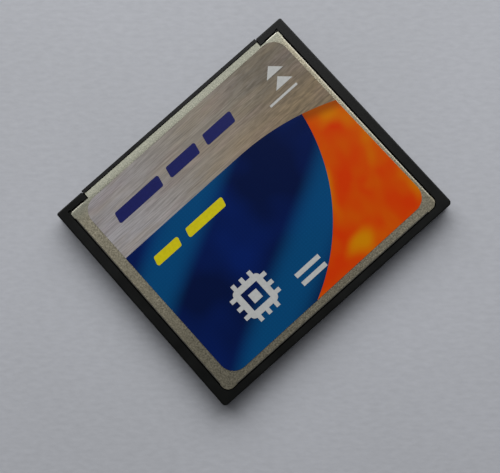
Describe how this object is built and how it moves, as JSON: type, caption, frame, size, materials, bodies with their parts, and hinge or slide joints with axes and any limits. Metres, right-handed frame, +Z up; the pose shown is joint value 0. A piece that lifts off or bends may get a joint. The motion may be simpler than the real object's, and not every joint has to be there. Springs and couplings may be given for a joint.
{
  "type": "flash memory card",
  "caption": "Flat flash memory card: a moulded frame between folded metal covers, a coloured label, and rows of pin sockets along its front edge.",
  "frame": {"origin": "under the middle of the card, on the plane that it lies on", "axes": "+Z up out of the label, +Y towards the edge with the sockets, +X to the right seen from above"},
  "size_m": [0.0428, 0.0364, 0.0033],
  "materials": {
    "frame_plastic": "moulded black plastic with a fine satin grain",
    "cover_steel": "bead-blasted stainless sheet, warm grey, fine speckle",
    "housing_plastic": "moulded black plastic",
    "contact_plating": "gold-plated copper alloy",
    "board_laminate": "green solder resist on glass laminate",
    "insulating_film": "amber film",
    "chip_moulding": "moulded epoxy",
    "tinned_leads": "tin-plated copper alloy",
    "crystal_case": "ceramic case with a plated lid",
    "ceramic_parts": "fired ceramic with plated ends",
    "resistor_ceramic": "glazed dark ceramic",
    "label_silver": "silver film, printed with fine brushed lines",
    "print_blue": "glossy ink, deep blue with soft teal glows",
    "print_orange": "glossy ink, orange with soft yellow glows",
    "print_dark_blue": "glossy ink",
    "print_white": "glossy ink",
    "print_yellow": "glossy ink"
  },
  "bodies": {
    "root": {"frame": "frame_plastic", "top_cover": "cover_steel", "bottom_cover": "cover_steel", "connector_housing": "housing_plastic", "upper_contacts": "contact_plating", "lower_contacts": "contact_plating", "circuit_board": "board_laminate", "upper_insulating_film": "insulating_film", "lower_insulating_film": "insulating_film", "controller_body": "chip_moulding", "controller_leads": "tinned_leads", "upper_flash_body": "chip_moulding", "upper_flash_leads": "tinned_leads", "lower_flash_body": "chip_moulding", "lower_flash_leads": "tinned_leads", "regulator_body": "chip_moulding", "regulator_leads": "tinned_leads", "crystal": "crystal_case", "input_fuse": "ceramic_parts", "capacitors": "ceramic_parts", "resistor_arrays": "resistor_ceramic", "label_film": "label_silver", "label_blue_print": "print_blue", "label_orange_print": "print_orange", "label_dark_bars": "print_dark_blue", "label_arrows": "print_white", "label_yellow_bars": "print_yellow", "label_emblem": "print_white"}
  },
  "joints": []
}
